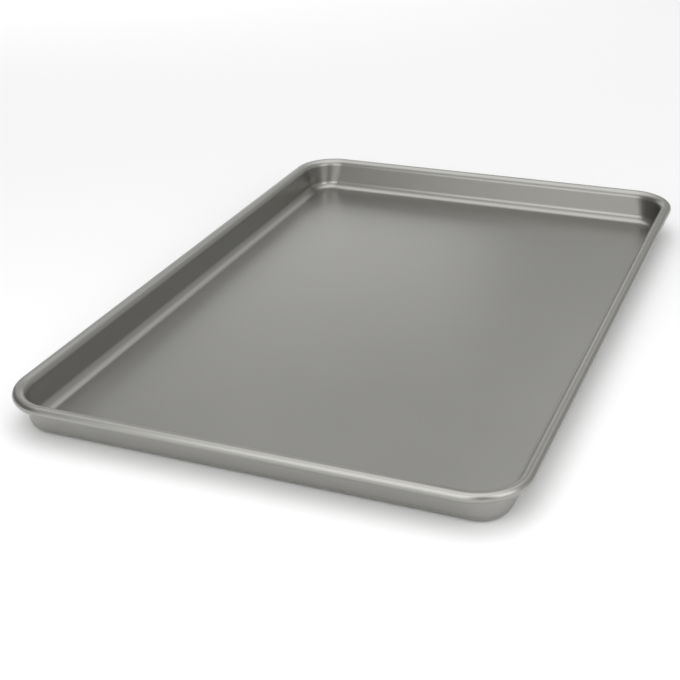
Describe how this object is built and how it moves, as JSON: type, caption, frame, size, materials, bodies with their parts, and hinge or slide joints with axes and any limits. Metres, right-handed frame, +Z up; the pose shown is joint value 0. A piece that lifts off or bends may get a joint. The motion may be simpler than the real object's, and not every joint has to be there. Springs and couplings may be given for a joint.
{
  "type": "sheet pan",
  "caption": "Shallow rectangular baking tray drawn from one coated steel sheet, with flared walls, rounded corners and a rim rolled outward over a stiffening wire.",
  "frame": {"origin": "centre of the flat underside, on the surface that the pan stands on", "axes": "+X along the pan's length, +Y across its width, +Z up out of the open side"},
  "size_m": [0.432, 0.292, 0.0224],
  "materials": {
    "coated_sheet": "satin metallic grey non-stick coat on carbon steel",
    "rim_wire": "drawn steel wire, bare"
  },
  "bodies": {
    "root": {"pan_shell": "coated_sheet", "rim_wire": "rim_wire"}
  },
  "joints": []
}
